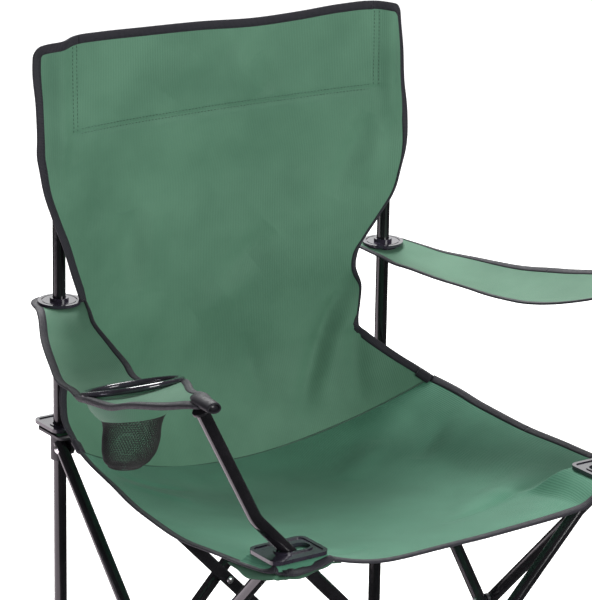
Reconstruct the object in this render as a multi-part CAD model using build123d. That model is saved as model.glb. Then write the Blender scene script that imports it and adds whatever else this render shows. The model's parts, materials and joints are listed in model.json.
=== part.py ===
"""Folding camp chair: crossed steel tubes between moulded corner connectors carry a slung cloth seat and back.

Millimetres, +Z up, the sitter faces -Y. The right side of the chair is -X, the left side is +X.
The origin is on the floor, midway between the four feet.
"""
import os
from math import asin, atan2, cos, degrees, radians, sin, tan

from build123d import *

# Steel tubes
TUBE_D = 15.0
TUBE_WALL = 1.2
POST_SPACING = 458.0
BRACE_LENGTH = 600.0
PIVOT_INSET = 22.0
PLANE_OFFSET = 10.0
TUBE_TAIL = 9.0
FOOT_PIVOT_Z = 23.0
POST_BOTTOM_Z = 4.0
POST_TOP_Z = 920.0
FOLD_TURN = 35.0

# Arm posts, the bent upper ends of the front legs
ARM_BEND_REACH = 89.0
ARM_UPPER_LENGTH = 150.0
ARM_LEAN = 27.3
ARM_BEND_RADIUS = 45.0

# Rivets
RIVET_D = 5.0
RIVET_HEAD_D = 9.5
RIVET_HEAD_H = 2.0
RUNNING_CLEARANCE = 0.08
SEAT_GAP = 0.1
SPACER_D = 12.0

# Moulded connectors
LUG_THICKNESS = 4.4
LUG_RADIUS = 8.0
LUG_WIDTH = 12.5
FOOT_PAD = 50.0
FOOT_PAD_CENTRE = 8.0
FOOT_PAD_RADIUS = 14.0
FOOT_PAD_H = 7.0
FOOT_SOCKET_H = 42.0
FOOT_BOSS_H = 20.0
FOOT_WEB_H = 15.0
SOCKET_WALL = 3.0
SLIDE_CLEARANCE = 0.4
SLIDER_DROP = 20.0
FLANGE_RISE = 13.0
FLANGE_H = 3.0
FLANGE_X = 50.0
FLANGE_Y = 56.0
FLANGE_CENTRE = (7.0, 4.0)
FLANGE_RADIUS = 8.0

# Corner plates: width across the chair and depth along it
FRONT_PLATE = (72.0, 54.0)
FRONT_PLATE_INBOARD = 3.0
REAR_PLATE = (51.0, 55.0)
REAR_PLATE_CENTRE = (7.5, -5.5)
PLATE_RADIUS = 10.0
PLATE_H = 3.0
PLATE_RIM_W = 4.5
PLATE_RIM_H = 1.2
PLATE_COLLAR_W = 3.0
PLATE_COLLAR_H = 1.5
SLOT_CLEARANCE = 1.2
POST_HOLE_CLEARANCE = 1.0

# Armrest washers
WASHER_DROP = 29.0
WASHER_D = 50.0
WASHER_H = 3.5
WASHER_UNDER_D = 40.0
WASHER_UNDER_H = 3.0
WASHER_NECK_D = 24.0
WASHER_COLLAR_D = 22.0
WASHER_COLLAR_H = 3.5
WASHER_GROOVE_D = 42.0
WASHER_GROOVE_W = 1.5
WASHER_GROOVE_H = 0.8

# End caps
CAP_H = 3.0
CAP_PLUG_H = 12.0
CAP_PLUG_CLEARANCE = 0.1
ARM_CAP_D = 20.0
ARM_CAP_H = 3.0

# Cloth
CLOTH = 2.0
CLOTH_GAP = 0.3
REAR_TAB_MARGIN = -3.0
FRONT_TAB_MARGIN = 1.0

# Back: the upper lines as share of the sleeves' height and sag
BACK_TOP_Z = 937.0
SLEEVE_INNER = 24.0
SLEEVE_OUTER = 29.0
SLEEVE_BOTTOM_Z = 745.0
SLEEVE_CORNER_RADIUS = 34.0
SLEEVE_FLAP = 4.0
SLEEVE_WALL = 2.0
BACK_LAP = 3.0
BACK_UPPER_SAG = ((0.0, 4.0), (0.5, 12.0), (1.0, 22.0))

# Back: the lower lines as share of the height from the top pivots to the sleeves,
# reach past the posts, depth in front of the posts, sag and turn of the sag
BACK_LOWER = (
    (1.01, 21.0, 20.0, 42.0, 0.0),
    (0.81, -3.0, 15.0, 36.0, 0.0),
    (0.635, -29.0, 9.0, 28.0, 0.0),
    (0.517, -39.0, 6.0, 24.0, 0.0),
    (0.357, -35.0, 7.0, 26.0, 0.0),
    (0.239, -23.0, 14.0, 36.0, 25.0),
    (0.148, 11.0, 39.0, 55.0, 52.0),
)

# Seam of back and seat
SEAM_DEPTH = 81.0
SEAM_RISE = 17.7
SEAM_REACH = 23.0
SEAM_SAG = 91.0
SEAM_TURN = 55.0

# Seat: cross lines as share of the half depth, reach past the posts, rise above the top pivots, sag and turn
SEAT_REAR = ((0.393, 31.0, 3.7, 62.0, 72.0), (0.131, 36.0, -3.3, 50.0, 84.0))
SEAT_SPLIT = (-0.087, 39.0, -5.3, 42.0, 90.0)
SEAT_FRONT = ((-0.568, 43.0, -3.3, 30.0, 90.0), (-0.961, 33.0, 2.7, 20.0, 90.0), (-1.1, 7.0, 3.7, 18.0, 90.0))
SEAT_NOTCH = 42.0

# Armrests: rear lines as depth in front of the posts, reach past them, drop below the washer, width and sag
ARM_REAR = ((-33.0, -2.0, 0.0, 50.0, 0.0), (29.0, 9.0, 0.0, 68.0, 0.0), (109.0, 36.0, 24.0, 82.0, 3.0))
ARM_SPLIT = (201.0, 51.0, 36.0, 108.0, 4.0)

# Armrests: front lines as shares of the way along, out and up from the fold to the tip, width and sag
ARM_FRONT = (
    (0.2234, 0.232, 0.244, 124.0, 3.0),
    (0.447, 0.571, 0.5, 98.0, 3.0),
    (0.773, 1.0, 0.927, 46.0, 1.5),
    (1.0, 1.0, 1.0, 28.0, 1.0),
)
ARM_TIP_PAST = 25.0
ARM_TIP_REACH = -1.2
ARM_TIP_RISE = 17.0
PLAIN_ARM_RISE = 22.0

# Cup holder in the right armrest, at the first front line
CUP_RING_D = 108.0
CUP_WIRE_D = 7.0
CUP_TILT = -0.2175
CUP_HOLE_D = 100.0
CUP_POCKET_DEPTH = 96.0
CUP_POCKET_BOTTOM_D = 62.0
CUP_POCKET_WALL = 2.0
CUP_POCKET_HANG = 3.5

# Worked-out values
HALF = POST_SPACING / 2
TUBE_R = TUBE_D / 2
PIVOT_SPAN = POST_SPACING - 2 * PIVOT_INSET
OPEN_ANGLE = asin(PIVOT_SPAN / BRACE_LENGTH)
FOLDED_ANGLE = OPEN_ANGLE - radians(FOLD_TURN)
TOP_PIVOT_Z = FOOT_PIVOT_Z + BRACE_LENGTH * cos(OPEN_ANGLE)
MID_Z = (FOOT_PIVOT_Z + TOP_PIVOT_Z) / 2
RIVET_BORE_R = RIVET_D / 2 + RUNNING_CLEARANCE
TAB_RISE = FLANGE_RISE + FLANGE_H + CLOTH_GAP
PLATE_RISE = TAB_RISE + CLOTH + CLOTH_GAP
ARM_END_X = HALF - PIVOT_INSET + ARM_BEND_REACH * sin(OPEN_ANGLE) + ARM_UPPER_LENGTH * sin(radians(ARM_LEAN))
ARM_END_Z = TOP_PIVOT_Z + ARM_BEND_REACH * cos(OPEN_ANGLE) + ARM_UPPER_LENGTH * cos(radians(ARM_LEAN))
WASHER_Z = ARM_END_Z - WASHER_DROP
ARM_LOW_Z = WASHER_Z - ARM_SPLIT[2]

RIGHT, LEFT = -1, 1
REAR, FRONT = 1, -1
OUTER, INNER = -1, 1


def corner_point(side, end, u, v, z):
    """World point of a corner's own frame: u runs inboard across the chair, v inboard along it."""
    return Vector(side * (HALF - u), end * (HALF - v), z)


def place(shape, side, end, z=0):
    """Moves a shape from a corner's own frame to its corner."""
    if side == LEFT:
        shape = mirror(shape, about=Plane.YZ)
    if end == REAR:
        shape = mirror(shape, about=Plane.XZ)
    return Pos(side * HALF, end * HALF, z) * shape


def bar(start, end, radius):
    """Round bar between two points."""
    run = end - start
    return extrude(Plane(origin=start, z_dir=run.normalized()) * Circle(radius), run.length)


def drilled(tube, holes):
    """Cuts rivet holes, given as a point on the axis and a direction, through a tube."""
    for point, axis in holes:
        tube -= bar(point - axis * TUBE_D, point + axis * TUBE_D, RIVET_BORE_R)
    return tube


def brace(foot, top, axis):
    """Straight tube drilled at both ends and where it crosses its twin."""
    run = (top - foot).normalized()
    start = foot - run * TUBE_TAIL
    end = top + run * TUBE_TAIL
    tube = bar(start, end, TUBE_R) - bar(start, end, TUBE_R - TUBE_WALL)
    return drilled(tube, [(foot, axis), (top, axis), ((foot + top) / 2, axis)])


def rivet(start, end):
    """Rivet with a domed head outside each of two points."""
    run = end - start
    length = run.length
    shank_r = RIVET_D / 2
    head_r = RIVET_HEAD_D / 2
    ball_r = (head_r ** 2 + RIVET_HEAD_H ** 2) / (2 * RIVET_HEAD_H)
    half_turn = asin(head_r / ball_r) / 2
    mid = (ball_r * sin(half_turn), ball_r * cos(half_turn) - ball_r + RIVET_HEAD_H)
    low = ThreePointArc((0, -RIVET_HEAD_H), (mid[0], -mid[1]), (head_r, 0))
    sides = Polyline((head_r, 0), (shank_r, 0), (shank_r, length), (head_r, length))
    high = ThreePointArc((head_r, length), (mid[0], length + mid[1]), (0, length + RIVET_HEAD_H))
    spine = Line((0, length + RIVET_HEAD_H), (0, -RIVET_HEAD_H))
    turned = revolve(Plane.XZ * make_face([low, sides, high, spine]), Axis.Z)
    return Plane(origin=start, z_dir=run.normalized()).location * turned


def cross_rivet(centre, axis):
    """Rivet through two crossing tubes, with the spacer that keeps them apart."""
    reach = PLANE_OFFSET + TUBE_R + SEAT_GAP
    pin = rivet(centre - axis * reach, centre + axis * reach)
    half = PLANE_OFFSET - TUBE_R - CLOTH_GAP
    washer = bar(centre - axis * half, centre + axis * half, SPACER_D / 2)
    washer -= bar(centre - axis * half, centre + axis * half, RIVET_BORE_R)
    return pin, washer


def corner_rivets(side, end, z, cross_offset, along_offset):
    """The two rivets that hold a cross tube and a fore-and-aft tube to a connector's lugs."""
    far = TUBE_R + PLANE_OFFSET + SEAT_GAP
    near = LUG_THICKNESS / 2 + SEAT_GAP
    across = rivet(
        corner_point(side, end, PIVOT_INSET, cross_offset * far, z),
        corner_point(side, end, PIVOT_INSET, -cross_offset * near, z),
    )
    along = rivet(
        corner_point(side, end, along_offset * far, PIVOT_INSET, z),
        corner_point(side, end, -along_offset * near, PIVOT_INSET, z),
    )
    return Compound(across.solids() + along.solids())


def lug_pair(profile):
    """Two lugs of one profile, one across the chair and one along it, drilled for their rivets."""
    eye = Pos(PIVOT_INSET, 0) * Circle(RIVET_D / 2 + SEAT_GAP)
    across = extrude(Plane.XZ * (profile - eye), LUG_THICKNESS / 2, both=True)
    along = extrude(Plane.YZ * (profile - eye), LUG_THICKNESS / 2, both=True)
    return across + along


def foot(has_post):
    """Moulded foot: a flat pad, two upright lugs and a socket or boss between them."""
    profile = Pos(PIVOT_INSET, 0) * Circle(LUG_RADIUS)
    upright = Pos(PIVOT_INSET, -FOOT_PIVOT_Z / 2) * Rectangle(2 * LUG_RADIUS, FOOT_PIVOT_Z)
    web = Pos(PIVOT_INSET / 2, FOOT_WEB_H / 2 - FOOT_PIVOT_Z) * Rectangle(PIVOT_INSET, FOOT_WEB_H)
    body = Pos(0, 0, FOOT_PIVOT_Z) * lug_pair(profile + upright + web)
    pad = Pos(FOOT_PAD_CENTRE, FOOT_PAD_CENTRE) * RectangleRounded(FOOT_PAD, FOOT_PAD, FOOT_PAD_RADIUS)
    pad = extrude(pad, FOOT_PAD_H)
    pad = chamfer(pad.faces().sort_by(Axis.Z)[-1].edges(), FOOT_PAD_H / 4)
    body += pad
    outer = TUBE_R + SOCKET_WALL
    body += extrude(Circle(outer), FOOT_SOCKET_H if has_post else FOOT_BOSS_H)
    if has_post:
        body -= Pos(0, 0, POST_BOTTOM_Z) * extrude(Circle(TUBE_R + RUNNING_CLEARANCE), FOOT_SOCKET_H)
    return body


def slot_sketch(tube_side, grow=0.0):
    """Slot that lets the front leg swing through a corner, open to folded."""
    top = PLATE_RISE + PLATE_H + PLATE_COLLAR_H
    low = PIVOT_INSET - top * tan(OPEN_ANGLE) - TUBE_R / cos(OPEN_ANGLE) - SLOT_CLEARANCE - grow
    high = PIVOT_INSET - FLANGE_RISE * tan(FOLDED_ANGLE) + TUBE_R / cos(FOLDED_ANGLE) + SLOT_CLEARANCE + grow
    width = TUBE_D + 2 * (SLOT_CLEARANCE + grow)
    return Pos((low + high) / 2, tube_side * PLANE_OFFSET) * SlotOverall(high - low, width)


def flange():
    """Flat top of a hanging connector."""
    outline = Pos(*FLANGE_CENTRE) * RectangleRounded(FLANGE_X, FLANGE_Y, FLANGE_RADIUS)
    return Pos(0, 0, FLANGE_RISE) * extrude(outline, FLANGE_H)


def hanging_lugs(inner_edge):
    """Lugs that hang from a flange, each from its eye up to the flange."""
    outer_edge = PIVOT_INSET + LUG_RADIUS
    neck = Pos((inner_edge + outer_edge) / 2, FLANGE_RISE / 2) * Rectangle(outer_edge - inner_edge, FLANGE_RISE)
    return lug_pair(Pos(PIVOT_INSET, 0) * Circle(LUG_RADIUS) + neck)


def slider():
    """Connector that slides on a rear post: sleeve, flange and two lugs."""
    sleeve_r = TUBE_R + SLIDE_CLEARANCE + SOCKET_WALL
    sleeve = Pos(0, 0, -SLIDER_DROP) * extrude(Circle(sleeve_r), SLIDER_DROP + FLANGE_RISE)
    body = flange() + hanging_lugs(TUBE_R + SLIDE_CLEARANCE + SOCKET_WALL / 2) + sleeve
    bore = Pos(0, 0, -SLIDER_DROP) * extrude(Circle(TUBE_R + SLIDE_CLEARANCE), 3 * SLIDER_DROP)
    return body - bore


def bracket(tube_side):
    """Front corner connector: a slotted flange and two lugs."""
    inner_edge = PIVOT_INSET + LUG_RADIUS - LUG_WIDTH + RIVET_D / 2
    slot = Pos(0, 0, FLANGE_RISE) * extrude(slot_sketch(tube_side), FLANGE_H)
    return flange() + hanging_lugs(inner_edge) - slot


def corner_outline(size, centre, margin, radius):
    """Rounded outline of a plate, a margin larger all round."""
    return Pos(*centre) * RectangleRounded(size[0] + 2 * margin, size[1] + 2 * margin, radius)


def corner_plate(hole, collar, size, centre):
    """Cover plate with a raised rim and a raised collar round its hole."""
    outline = corner_outline(size, centre, 0.0, PLATE_RADIUS)
    recess = corner_outline(size, centre, -PLATE_RIM_W, PLATE_RADIUS - PLATE_RIM_W)
    plate = extrude(outline, PLATE_H)
    plate += Pos(0, 0, PLATE_H) * extrude(outline - recess, PLATE_RIM_H)
    plate += Pos(0, 0, PLATE_H) * extrude(collar, PLATE_COLLAR_H)
    return Pos(0, 0, PLATE_RISE) * (plate - extrude(hole, 2 * PLATE_H))


def corner_tab(hole, outline):
    """Cloth corner clamped between a flange and its plate."""
    return Pos(0, 0, TAB_RISE) * extrude(outline - hole, CLOTH)


def arm_leg(foot_point, top_point):
    """Front leg that runs on past its corner and bends up into the arm post."""
    run = (top_point - foot_point).normalized()
    start = foot_point - run * TUBE_TAIL
    bend = top_point + run * ARM_BEND_REACH
    outward = 1 if run.X > 0 else -1
    lean = radians(ARM_LEAN)
    upper = Vector(outward * sin(lean), 0, cos(lean))
    end = bend + upper * ARM_UPPER_LENGTH
    path = FilletPolyline(start, bend, end, radius=ARM_BEND_RADIUS)
    ring = Plane(origin=start, z_dir=run) * (Circle(TUBE_R) - Circle(TUBE_R - TUBE_WALL))
    axis = Vector(0, 1, 0)
    middle = (foot_point + top_point) / 2
    tube = drilled(sweep(ring, path=path), [(foot_point, axis), (top_point, axis), (middle, axis)])
    return tube, end, upper


def end_cap(seat, axis, diameter, height):
    """Domed plug pushed into a tube's open end."""
    plug_r = TUBE_R - TUBE_WALL - CAP_PLUG_CLEARANCE
    head = bar(seat, seat + axis * height, diameter / 2)
    rims = head.edges().filter_by(GeomType.CIRCLE)
    head = fillet(rims.sort_by(Axis.Z)[-1], height / 2)
    return head + bar(seat - axis * CAP_PLUG_H, seat, plug_r)


def arm_washer():
    """Spool that clamps the armrest's rear end and slides on a post."""
    bore = TUBE_R + SLIDE_CLEARANCE
    half = CLOTH / 2 + CLOTH_GAP
    top = half + WASHER_H
    groove_out = WASHER_GROOVE_D / 2
    outline = Polyline(
        (bore, -half - WASHER_UNDER_H),
        (WASHER_UNDER_D / 2, -half - WASHER_UNDER_H),
        (WASHER_UNDER_D / 2, -half),
        (WASHER_NECK_D / 2, -half),
        (WASHER_NECK_D / 2, half),
        (WASHER_D / 2, half),
        (WASHER_D / 2, top),
        (groove_out, top),
        (groove_out, top - WASHER_GROOVE_H),
        (groove_out - WASHER_GROOVE_W, top - WASHER_GROOVE_H),
        (groove_out - WASHER_GROOVE_W, top),
        (WASHER_COLLAR_D / 2, top),
        (WASHER_COLLAR_D / 2, top + WASHER_COLLAR_H),
        (bore, top + WASHER_COLLAR_H),
        close=True,
    )
    return revolve(Plane.XZ * make_face(outline), Axis.Z)


def cloth_line(x, y, z, half_width, sag, turn=0.0):
    """Cross section of slung cloth: it sags from its chord, straight back at turn 0, straight down at 90."""
    back, down = cos(radians(turn)), sin(radians(turn))
    plane = Plane(origin=(x, y, z), x_dir=(1, 0, 0), z_dir=(0, down, back))
    if sag:
        inner = ThreePointArc((-half_width, 0), (0, sag), (half_width, 0))
        outer = ThreePointArc((half_width, CLOTH), (0, sag + CLOTH), (-half_width, CLOTH))
    else:
        inner = Line((-half_width, 0), (half_width, 0))
        outer = Line((half_width, CLOTH), (-half_width, CLOTH))
    ends = [Line(inner @ 1, outer @ 0), Line(outer @ 1, inner @ 0)]
    return plane * make_face([inner, ends[0], outer, ends[1]])


def seam_line(lift):
    """Cross section of the sling where back and seat are sewn together."""
    return cloth_line(0, HALF - SEAM_DEPTH, TOP_PIVOT_Z + SEAM_RISE + lift, HALF + SEAM_REACH, SEAM_SAG, SEAM_TURN)


def back_panel():
    """Back of the sling, from the top hem between the sleeves down to the seam with the seat."""
    upper_h = BACK_TOP_Z - SLEEVE_BOTTOM_Z + BACK_LAP
    lower_h = SLEEVE_BOTTOM_Z - TOP_PIVOT_Z
    half = HALF - SLEEVE_INNER - CLOTH_GAP
    upper = [cloth_line(0, HALF, BACK_TOP_Z - share * upper_h, half, sag) for share, sag in BACK_UPPER_SAG]
    lower = []
    for share, reach, depth, sag, turn in BACK_LOWER:
        lower.append(cloth_line(0, HALF - depth, TOP_PIVOT_Z + share * lower_h, HALF + reach, sag, turn))
    lower.append(seam_line(CLOTH_GAP))
    return loft(upper) + loft(lower, ruled=True)


def sleeve():
    """Closed pocket at the top corner of the back, in its corner's own frame: a flat flap round a post."""
    height = BACK_TOP_Z - SLEEVE_BOTTOM_Z
    middle = (SLEEVE_BOTTOM_Z + BACK_TOP_Z) / 2
    outline = Pos((SLEEVE_INNER - SLEEVE_OUTER) / 2, middle) * Rectangle(SLEEVE_INNER + SLEEVE_OUTER, height)
    corner = outline.vertices().sort_by(Axis.Y)[-2:].sort_by(Axis.X)[0]
    outline = fillet(corner, SLEEVE_CORNER_RADIUS)
    flap = extrude(Plane.XZ * outline, SLEEVE_FLAP / 2, both=True)
    bore_r = TUBE_R + CLOTH_GAP
    bore_top = POST_TOP_Z + CAP_H + CLOTH_GAP
    tube_h = bore_top + SLEEVE_WALL - SLEEVE_BOTTOM_Z
    body = flap + Pos(0, 0, SLEEVE_BOTTOM_Z) * extrude(Circle(bore_r + SLEEVE_WALL), tube_h)
    return body - Pos(0, 0, SLEEVE_BOTTOM_Z) * extrude(Circle(bore_r), bore_top - SLEEVE_BOTTOM_Z)


def corner_clearance(side):
    """Room that the seat leaves round a front corner's connector and leg."""
    size = 2 * SEAT_NOTCH
    room = extrude(RectangleRounded(size, size, PLATE_RADIUS), size, both=True)
    return Pos(side * HALF, FRONT * HALF, TOP_PIVOT_Z) * room


def seat_line(line, shift=0.0):
    """Cross section of the seat."""
    share, reach, rise, sag, turn = line
    return cloth_line(0, share * HALF + shift, TOP_PIVOT_Z + rise, HALF + reach, sag, turn)


def seat_halves():
    """Seat of the sling in two halves that meet along its fold line."""
    rear = [seam_line(-CLOTH_GAP)]
    rear += [seat_line(line) for line in SEAT_REAR]
    rear.append(seat_line(SEAT_SPLIT, CLOTH_GAP / 2))
    front = [seat_line(SEAT_SPLIT, -CLOTH_GAP / 2)]
    front += [seat_line(line) for line in SEAT_FRONT]
    front_half = loft(front, ruled=True)
    for side in (RIGHT, LEFT):
        front_half -= corner_clearance(side)
    return loft(rear, ruled=True), front_half


def arm_rear_line(line, shift=0.0):
    """Place, width and sag of a cross line on an armrest's rear half."""
    depth, reach, drop, width, sag = line
    return HALF - depth + shift, HALF + reach, WASHER_Z - drop, width, sag


def arm_front_line(line):
    """Place, width and sag of a cross line on an armrest's front half."""
    along, out, up, width, sag = line
    fold_y, fold_x, fold_z = arm_rear_line(ARM_SPLIT)[:3]
    y = fold_y - along * (fold_y + HALF + ARM_TIP_PAST)
    x = fold_x + out * (ARM_END_X + ARM_TIP_REACH - fold_x)
    z = fold_z + up * (ARM_END_Z + ARM_TIP_RISE - fold_z)
    return y, x, z, width, sag


def arm_faces(side, lines, rise):
    """Cross sections of an armrest half; rise lifts the low middle of the plain armrest."""
    faces = []
    for y, x, z, width, sag in lines:
        share = max(0.0, (WASHER_Z - z) / (WASHER_Z - ARM_LOW_Z))
        faces.append(cloth_line(side * x, y, z + rise * share, width / 2, sag, 90))
    return faces


def armrest(side, rise):
    """Cloth strip from a post to an arm post, in two halves that meet at its low middle."""
    rear_lines = [arm_rear_line(line) for line in ARM_REAR]
    rear_lines.append(arm_rear_line(ARM_SPLIT, CLOTH_GAP / 2))
    front_lines = [arm_rear_line(ARM_SPLIT, -CLOTH_GAP / 2)]
    front_lines += [arm_front_line(line) for line in ARM_FRONT]
    drop = Pos(0, 0, CLOTH / 2)
    rear = drop * loft(arm_faces(side, rear_lines, rise), ruled=True)
    neck = bar(Vector(side * HALF, HALF, WASHER_Z - WASHER_D), Vector(side * HALF, HALF, WASHER_Z + WASHER_D),
               WASHER_NECK_D / 2 + CLOTH_GAP)
    front = loft(arm_faces(side, front_lines, rise), ruled=True)
    return rear - neck, front


def cup_centre():
    """Middle of the cup hole in the right armrest."""
    y, x, z = arm_front_line(ARM_FRONT[0])[:3]
    return Vector(RIGHT * x, y, z)


def cup_plane(lift=0.0):
    """Plane of the cup holder's ring, which follows the rising front half of the armrest."""
    rear_y, _, rear_z = arm_rear_line(ARM_SPLIT)[:3]
    front_y, _, front_z = arm_front_line(ARM_FRONT[1])[:3]
    slope = atan2(front_z - rear_z, rear_y - front_y) + radians(CUP_TILT)
    normal = Vector(0, sin(slope), cos(slope))
    return Plane(origin=cup_centre() + normal * lift, x_dir=(1, 0, 0), z_dir=normal)


def cup_pocket():
    """Open pocket that hangs below the ring and narrows to its floor."""
    rim_r = CUP_HOLE_D / 2 - CLOTH_GAP
    floor_r = CUP_POCKET_BOTTOM_D / 2
    floor = Plane(origin=cup_centre() - Vector(0, 0, CUP_POCKET_DEPTH))
    raised = floor.offset(CUP_POCKET_WALL)
    drop = -CLOTH - CUP_POCKET_HANG
    outer = loft([cup_plane(drop) * Circle(rim_r), floor * Circle(floor_r)])
    inner = loft([cup_plane(drop) * Circle(rim_r - CUP_POCKET_WALL), raised * Circle(floor_r - CUP_POCKET_WALL)])
    return outer - inner


parts = {}

# Rear posts with their feet and caps
for name, side, cross, along in (("right", RIGHT, OUTER, INNER), ("left", LEFT, INNER, OUTER)):
    base = Vector(side * HALF, REAR * HALF, POST_BOTTOM_Z)
    top = Vector(side * HALF, REAR * HALF, POST_TOP_Z)
    parts[f"post_{name}"] = bar(base, top, TUBE_R) - bar(base, top, TUBE_R - TUBE_WALL)
    parts[f"post_cap_{name}"] = end_cap(top, Vector(0, 0, 1), TUBE_D, CAP_H)
    parts[f"foot_rear_{name}"] = place(foot(True), side, REAR)
    parts[f"foot_rivets_rear_{name}"] = corner_rivets(side, REAR, FOOT_PIVOT_Z, cross, along)
    parts[f"sleeve_{name}"] = place(sleeve(), side, REAR)

# Sliders on the posts, with the rear corner plates
post_hole = Circle(TUBE_R + POST_HOLE_CLEARANCE)
post_collar = Circle(TUBE_R + POST_HOLE_CLEARANCE + PLATE_COLLAR_W)
for name, side, cross, along in (("right", RIGHT, INNER, OUTER), ("left", LEFT, OUTER, INNER)):
    parts[f"slider_{name}"] = place(slider(), side, REAR, TOP_PIVOT_Z)
    parts[f"slider_rivets_{name}"] = corner_rivets(side, REAR, TOP_PIVOT_Z, cross, along)
    plate = corner_plate(post_hole, post_collar, REAR_PLATE, REAR_PLATE_CENTRE)
    parts[f"plate_rear_{name}"] = place(plate, side, REAR, TOP_PIVOT_Z)
    tab = corner_tab(post_hole, corner_outline(REAR_PLATE, REAR_PLATE_CENTRE, REAR_TAB_MARGIN, PLATE_RADIUS))
    parts[f"tab_rear_{name}"] = place(tab, side, REAR, TOP_PIVOT_Z)

# Front feet and front corner connectors
for name, side, cross, along in (("right", RIGHT, INNER, OUTER), ("left", LEFT, OUTER, INNER)):
    parts[f"foot_front_{name}"] = place(foot(False), side, FRONT)
    parts[f"foot_rivets_front_{name}"] = corner_rivets(side, FRONT, FOOT_PIVOT_Z, cross, along)
for name, side, cross, along in (("right", RIGHT, OUTER, INNER), ("left", LEFT, INNER, OUTER)):
    slot = slot_sketch(cross)
    parts[f"bracket_{name}"] = place(bracket(cross), side, FRONT, TOP_PIVOT_Z)
    parts[f"bracket_rivets_{name}"] = corner_rivets(side, FRONT, TOP_PIVOT_Z, cross, along)
    centre = (FRONT_PLATE_INBOARD, cross * PLANE_OFFSET)
    plate = corner_plate(slot, slot_sketch(cross, PLATE_COLLAR_W), FRONT_PLATE, centre)
    parts[f"plate_front_{name}"] = place(plate, side, FRONT, TOP_PIVOT_Z)
    tab = corner_tab(slot, corner_outline(FRONT_PLATE, centre, FRONT_TAB_MARGIN, PLATE_RADIUS))
    parts[f"tab_front_{name}"] = place(tab, side, FRONT, TOP_PIVOT_Z)

# Crossed braces of the back and of the two sides
across_axis = Vector(0, 1, 0)
along_axis = Vector(1, 0, 0)
for name, low_side, level in (("outer", RIGHT, OUTER), ("inner", LEFT, INNER)):
    low = corner_point(low_side, REAR, PIVOT_INSET, level * PLANE_OFFSET, FOOT_PIVOT_Z)
    high = corner_point(-low_side, REAR, PIVOT_INSET, level * PLANE_OFFSET, TOP_PIVOT_Z)
    parts[f"rear_brace_{name}"] = brace(low, high, across_axis)
side_braces = (
    ("right_inner", RIGHT, REAR, INNER),
    ("right_outer", RIGHT, FRONT, OUTER),
    ("left_outer", LEFT, REAR, OUTER),
    ("left_inner", LEFT, FRONT, INNER),
)
for name, side, low_end, level in side_braces:
    low = corner_point(side, low_end, level * PLANE_OFFSET, PIVOT_INSET, FOOT_PIVOT_Z)
    high = corner_point(side, -low_end, level * PLANE_OFFSET, PIVOT_INSET, TOP_PIVOT_Z)
    parts[f"side_brace_{name}"] = brace(low, high, along_axis)

# Front legs that become the arm posts
for name, low_side, level in (("right", LEFT, OUTER), ("left", RIGHT, INNER)):
    low = corner_point(low_side, FRONT, PIVOT_INSET, level * PLANE_OFFSET, FOOT_PIVOT_Z)
    high = corner_point(-low_side, FRONT, PIVOT_INSET, level * PLANE_OFFSET, TOP_PIVOT_Z)
    leg, leg_end, leg_axis = arm_leg(low, high)
    parts[f"arm_leg_{name}"] = leg
    parts[f"arm_cap_{name}"] = end_cap(leg_end, leg_axis, ARM_CAP_D, ARM_CAP_H)

# Rivets and spacers where the tubes cross
crossings = (
    ("rear", Vector(0, REAR * HALF, MID_Z), across_axis),
    ("front", Vector(0, FRONT * HALF, MID_Z), across_axis),
    ("right", Vector(RIGHT * HALF, 0, MID_Z), along_axis),
    ("left", Vector(LEFT * HALF, 0, MID_Z), along_axis),
)
for name, centre, axis in crossings:
    parts[f"cross_rivet_{name}"], parts[f"cross_spacer_{name}"] = cross_rivet(centre, axis)

# Cloth sling
parts["back_panel"] = back_panel()
parts["seat_rear"], parts["seat_front"] = seat_halves()

# Armrests, their washers and the cup holder
for name, side, rise in (("right", RIGHT, 0.0), ("left", LEFT, PLAIN_ARM_RISE)):
    parts[f"arm_washer_{name}"] = Pos(side * HALF, HALF, WASHER_Z) * arm_washer()
    parts[f"armrest_rear_{name}"], parts[f"armrest_front_{name}"] = armrest(side, rise)
cup_cut = extrude(cup_plane() * Circle(CUP_HOLE_D / 2), CUP_WIRE_D * 2, both=True)
parts["armrest_front_right"] -= cup_cut
parts["cup_ring"] = cup_plane(CUP_WIRE_D / 2 + CLOTH_GAP) * Torus(CUP_RING_D / 2, CUP_WIRE_D / 2)
parts["cup_pocket"] = cup_pocket()

os.makedirs("parts", exist_ok=True)
for node, shape in parts.items():
    export_step(shape, f"parts/{node}.step")
print("open angle", round(degrees(OPEN_ANGLE), 2), "top pivot", round(TOP_PIVOT_Z, 2), "nodes", len(parts))
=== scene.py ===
"""Folding camp chair: the cloth sling, its bound edges, the armrests and the cup holder over the tube frame.

Metres, +Z up, the sitter faces -Y. The chair's right side is -X.
Lengths in the tables below are millimetres, and MM turns them into metres.
"""
import json
import math

import bmesh
import bpy
import numpy as np
from mathutils import Matrix, Vector


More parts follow.
